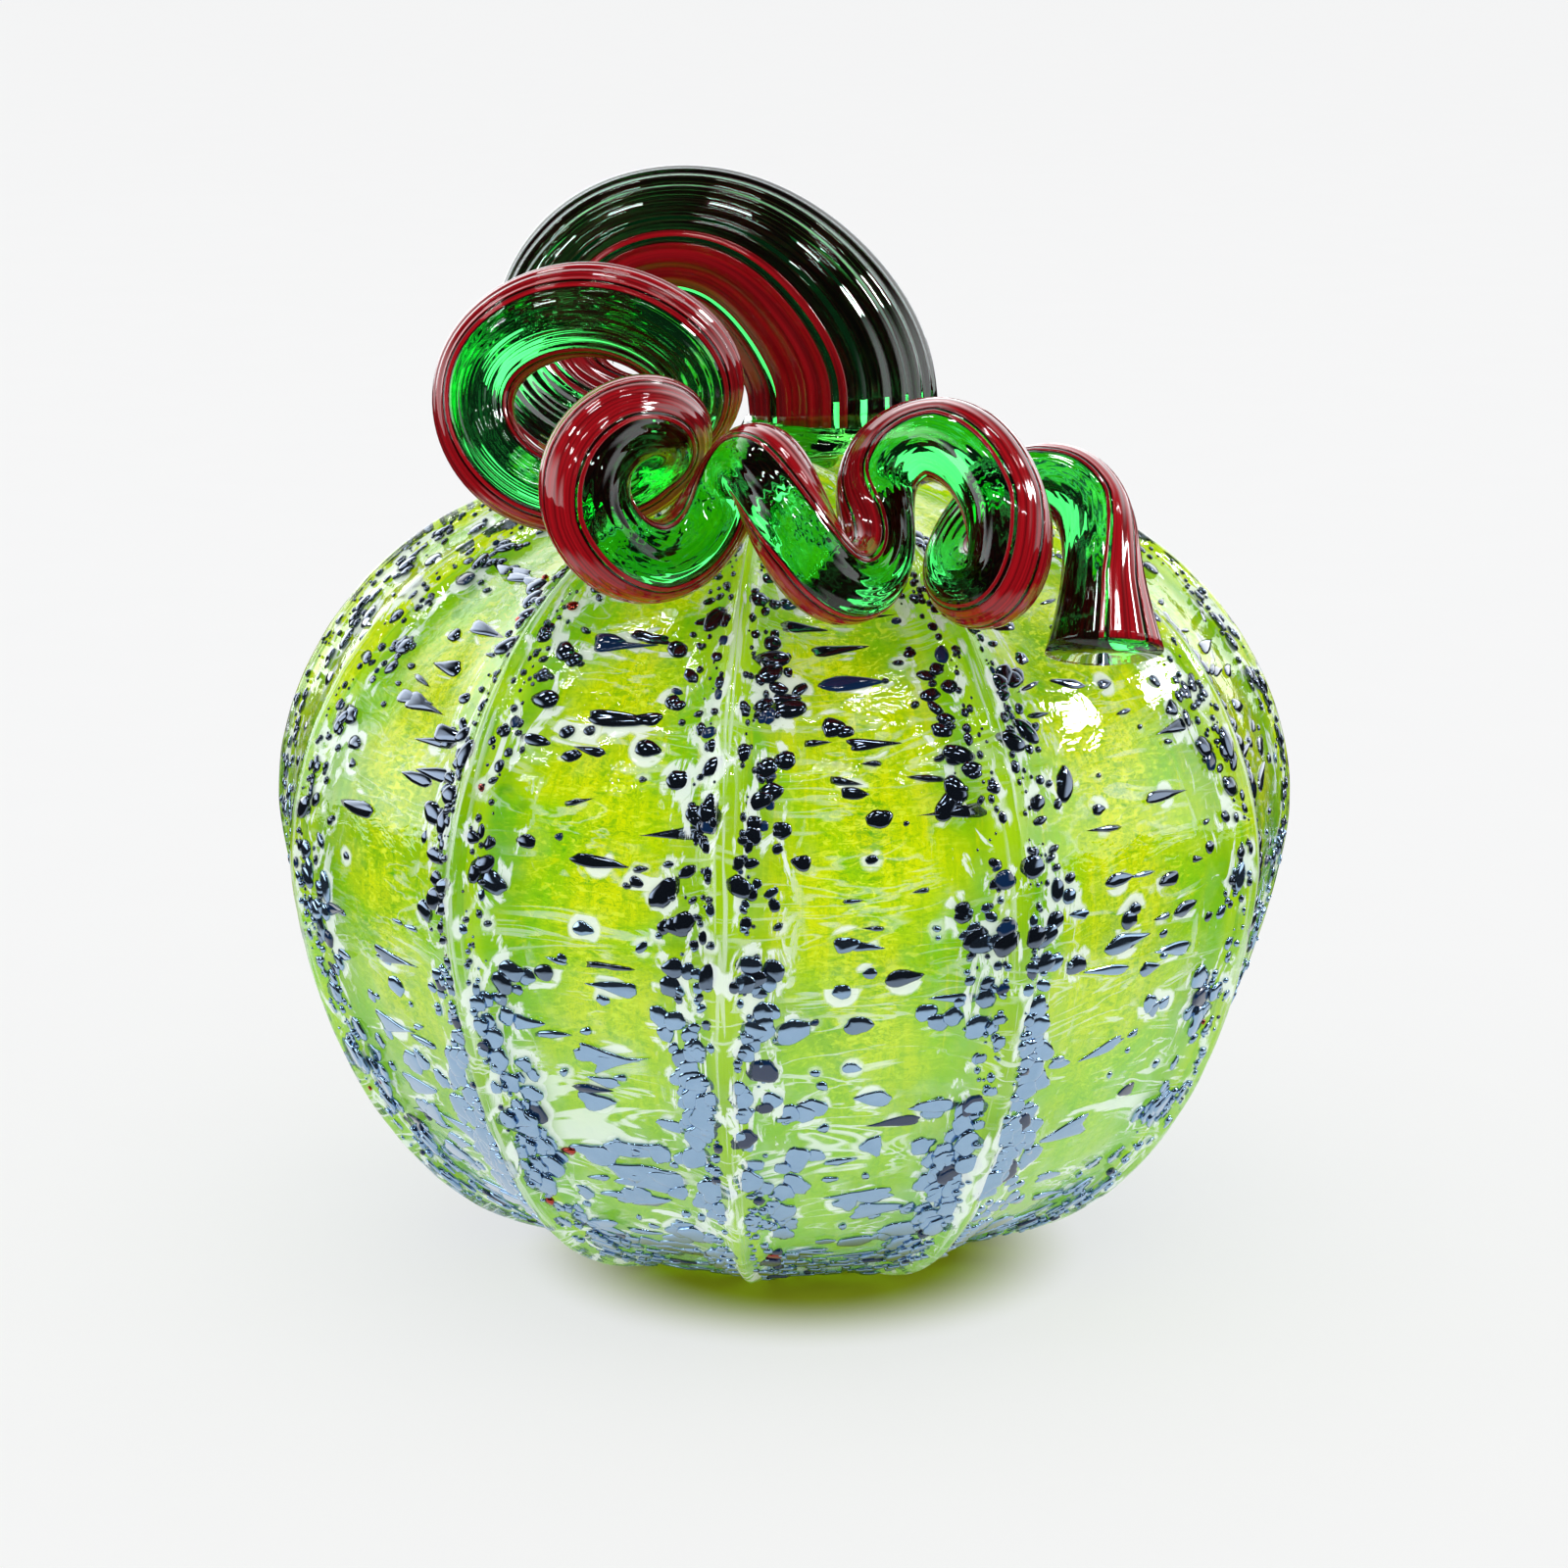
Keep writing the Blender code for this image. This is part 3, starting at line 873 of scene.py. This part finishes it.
def overlayMaterial():
    material, board = newBoard("red overlay glass")
    where = board.along()
    lines = board.noise(board.stretch(where, (14.0, 70.0, 1.0)), 1.0, 4.0, 0.6)
    cloud = board.noise(board.place(), 90, 2.0)
    colour = board.mix(board.step(lines, 0.35, 0.62), overlay["dark"], overlay["red"])
    colour = board.mix(board.step(cloud, 0.58, 0.85) * 0.25, colour, overlay["pink"])
    values = {
        "Base Color": colour,
        "Roughness": 0.10 + 0.05 * lines,
        "IOR": 1.5,
        "Specular IOR Level": 0.08,
        "Coat Weight": 0.8,
        "Coat Roughness": 0.02,
    }
    board.surface(board.principled(values))
    return material


# crown seal: the gob under the root
seal = {
    "rows": 40,
    "columns": 64,
    "plugGap": 0.0012,
    "lump": 0.02,
    "lumpScale": (2, 200),  # around, upright
    "swirl": (0.12, 0.45, 0.05, 1),
}


def buildSeal(material):
    low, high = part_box("crown_seal")
    root = trail[0][0]
    rootRadius = trail[1][0]
    plug = body["pipeHole"] - seal["plugGap"]
    crown = float(onCrest(lipWalk)[1])
    # middle's move towards the root, radius, height
    stack = np.array([
        (0.0, plug * 0.6, low.z),
        (0.0, plug, low.z + 0.0008),
        (0.0, plug, crown + 0.0003),
        (0.55, rootRadius * 0.93, crown + 0.0005),
        (0.85, rootRadius + 0.0008, crown + 0.0008),
        (1.0, rootRadius + 0.0014, (crown + high.z) / 2),
        (1.0, rootRadius + 0.0006, high.z - 0.0003),
        (1.0, rootRadius * 0.9, high.z),
    ])
    marks = np.linspace(0, 1, len(stack))
    shares = np.linspace(0, 1, seal["rows"])
    fine = np.column_stack([np.interp(shares, marks, column) for column in stack.T])
    flat, tall = seal["lumpScale"]
    turn = np.linspace(0, 2 * math.pi, seal["columns"], endpoint=False)
    points = []
    for share, radius, height in fine:
        for t in turn:
            lump = noise.noise((math.cos(t) * flat, math.sin(t) * flat, height * tall))
            reach = radius * (1 + seal["lump"] * lump)
            x = root[0] * share + reach * math.cos(t)
            y = root[1] * share + reach * math.sin(t)
            points.append((x, y, height))
    faces = tubeFaces(seal["rows"], seal["columns"])
    return meshPiece("crown_seal_gob", points, faces, material)


def sealMaterial():
    material, board = newBoard("green seal glass")
    swirl = board.noise(board.place(), 160, 2.0, 0.5, 1.5)
    values = {
        "Base Color": board.mix(swirl, stem["green"], seal["swirl"]),
        "Roughness": 0.03,
        "IOR": 1.5,
        "Transmission Weight": 1.0,
        "Normal": board.bump(swirl, 0.2, 0.0006),
    }
    board.surface(board.letLightIn(board.principled(values), stem["light"]))
    return material


def adopt(piece, node):
    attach(piece, "root")
    if node:
        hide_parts(node)


chips, dice = scatterFrit()
adopt(buildCasing(chips, casingMaterial()), "ribbed_casing")
print("casing made")
adopt(buildFrit(chips, dice, fritMaterial()), None)
print("frit laid:", len(chips), "chips")
adopt(buildBubble(chips, bubbleMaterial()), "inner_bubble")
print("bubble lined")
adopt(buildRod(rodMaterial()), "stem_rod")
red = overlayMaterial()
adopt(buildOverlay("stem_overlay_red", overlay["near"], 0, red), "stem_overlay")
adopt(buildOverlay("stem_overlay_far_red", overlay["far"], 180, red), "stem_overlay_far")
print("stem pulled")
adopt(buildSeal(sealMaterial()), "crown_seal")
print("crown sealed")

# studio: pale floor, white to the eye, a dim room with bright sides and lamps to the reflections
studio = {
    "white": 0.885,
    "floorHalf": 4.0,
    "floor": (0.27, 0.27, 0.27, 1),
    "floorPale": (0.28, 0.28, 0.28, 1),
    "floorGlow": 0.64,
    "plainGlow": (1.0, 1.0, 1.0, 1),
    # painted shadow and light under the foot: a dim olive glow and an olive-yellow floor colour
    "paintedShadowAndLightGlow": (0.11, 0.135, 0.002, 1),
    "paintedLightFloor": (0.30, 0.33, 0.03, 1),
    "underPlace": (0.003, -0.014, 0.0),
    "underReach": (0.022, 0.043),
    "litPatch": (0.14, 0.19),
    "sky": (0.96, 0.97, 0.98, 1),
    "wall": (2.0, 2.04, 2.08, 1),
    "leftWall": (3.1, 3.18, 3.24, 1),
    "dim": (0.018, 0.020, 0.024, 1),
    "sideEdge": (0.66, 0.92),
    "backEdge": (0.25, 0.65),
    "topEdge": (0.50, 0.88),
    "leftToRight": (-0.3, 0.3),
    "patchScale": 4.5,
    "patchEdge": (0.455, 0.525),
    "distance": 0.620,
    "elevation": 14.4,
    "aim": (0.0, 0.0, 0.063),
    "focalPixels": 4270,
    "framePixels": 1600,
    "sensor": 36,
    "shift": (0.00125, 0.01625),
    "window": {
        "place": (0.841, 0.025, 0.678),
        "aim": (0.041, -0.050, 0.088),
        "size": (0.18, 0.15),
        "power": 6.5,
        "mirrored": True,
    },
    "overhead": {
        "place": (0.0, 0.1, 1.6),
        "aim": (0, 0, 0.05),
        "size": (1.6, 1.6),
        "power": 3,
        "mirrored": False,
    },
    "lampRows": 3,
    "lampColumns": 4,
    "lampFirst": (-0.75, -0.9, 1.0),
    "lampGaps": (0.5, 0.55),
    "lampSize": (0.20, 0.035),
    "lampPower": 0.9,
}


def buildFloor():
    material, board = newBoard("pale floor")
    where = board.place()
    grain = board.noise(where, 40, 3.0)
    out = board.add("ShaderNodeVectorMath", {"operation": "LENGTH"}, {0: where}).out("Value")
    ends = {0: where, 1: studio["underPlace"]}
    under = board.add("ShaderNodeVectorMath", {"operation": "DISTANCE"}, ends).out("Value")
    clear = board.step(under, *studio["underReach"])  # painted shadow and light: under the foot the floor's glow drops to a dim olive and its colour turns olive-yellow, for the foot's shadow and the yellow light coming down through it
    plain = board.mix(grain, studio["floor"], studio["floorPale"])
    values = {
        "Base Color": board.mix(clear, studio["paintedLightFloor"], plain),
        "Roughness": 0.6,
        "Specular IOR Level": 0.0,
        "Emission Color": board.mix(clear, studio["paintedShadowAndLightGlow"], studio["plainGlow"]),
        "Emission Strength": studio["floorGlow"],
    }
    pale = board.principled(values)
    # reflections see the lit patch round the piece and a dim room past it
    far = board.step(out, *studio["litPatch"])
    mirrored = board.mirrored(board.add("ShaderNodeLightPath"))
    dim = board.add("ShaderNodeEmission", None, {"Color": studio["dim"], "Strength": 1.0}).out()
    board.surface(board.blendShaders(far * mirrored, pale, dim))
    half = studio["floorHalf"]
    corners = [(-half, -half, 0), (half, -half, 0), (half, half, 0), (-half, half, 0)]
    floor = meshPiece("pale_floor", corners, [(0, 1, 2, 3)], material)


def buildWorld():
    world = bpy.data.worlds.new("soft room")
    world.use_nodes = True
    bpy.context.scene.world = world
    board = Board(world.node_tree)
    way = board.add("ShaderNodeTexCoord").out("Generated")
    parts = board.add("ShaderNodeSeparateXYZ", None, {0: way})
    # bright sides and back, dim in front and overhead
    across = parts.out("X") * parts.out("X")
    behind = board.step(parts.out("Y"), *studio["backEdge"])
    overhead = board.step(parts.out("Z"), *studio["topEdge"])
    sides = board.step(across, *studio["sideEdge"]).top(behind) * (1 - overhead)
    rightward = board.step(parts.out("X"), *studio["leftToRight"])
    walls = board.mix(rightward, studio["leftWall"], studio["wall"])
    path = board.add("ShaderNodeLightPath")
    # through the glass the room is patchy
    patchy = board.step(board.noise(way, studio["patchScale"], 1.0), *studio["patchEdge"])
    patches = patchy * path.out("Is Transmission Ray")
    reflected = board.mix(sides.top(patches), studio["dim"], walls)
    seen = board.mix(board.mirrored(path), studio["sky"], reflected)
    seen = board.mix(path.out("Is Camera Ray"), seen, (studio["white"],) * 3 + (1,))
    background = board.add("ShaderNodeBackground", None, {"Color": seen, "Strength": 1.0}).out()
    board.add("ShaderNodeOutputWorld", None, {"Surface": background})


def areaLight(name, place, aim, size, power, mirrored):
    data = bpy.data.lights.new(name, "AREA")
    data.shape = "RECTANGLE"
    data.size, data.size_y = size
    data.energy = power
    lamp = bpy.data.objects.new(name, data)
    lamp.location = place
    lamp.rotation_mode = "QUATERNION"
    lamp.rotation_quaternion = (Vector(aim) - Vector(place)).to_track_quat("-Z", "Y")
    lamp.visible_camera = False
    lamp.visible_diffuse = not mirrored
    lamp.visible_glossy = mirrored
    lamp.visible_transmission = False
    bpy.context.scene.collection.objects.link(lamp)


def buildCamera():
    tilt = math.radians(studio["elevation"])
    back = Vector((0, -math.cos(tilt), math.sin(tilt)))
    data = bpy.data.cameras.new("photo camera")
    data.sensor_width = studio["sensor"]
    data.lens = studio["focalPixels"] / studio["framePixels"] * studio["sensor"]
    data.shift_x, data.shift_y = studio["shift"]
    camera = bpy.data.objects.new("photo camera", data)
    camera.location = Vector(studio["aim"]) + back * studio["distance"]
    camera.rotation_mode = "QUATERNION"
    camera.rotation_quaternion = (-back).to_track_quat("-Z", "Y")
    bpy.context.scene.collection.objects.link(camera)
    bpy.context.scene.camera = camera


bpy.context.scene.view_settings.view_transform = "Standard"
buildFloor()
buildWorld()
buildCamera()
areaLight("window", **studio["window"])
areaLight("overhead", **studio["overhead"])
for row in range(studio["lampRows"]):
    for column in range(studio["lampColumns"]):
        right, back, height = studio["lampFirst"]
        right += studio["lampGaps"][0] * column
        back += studio["lampGaps"][1] * row
        place = (right, back, height)
        below = (right, back, 0)
        name = f"ceiling lamp {row} {column}"
        areaLight(name, place, below, studio["lampSize"], studio["lampPower"], True)
print("studio lit")
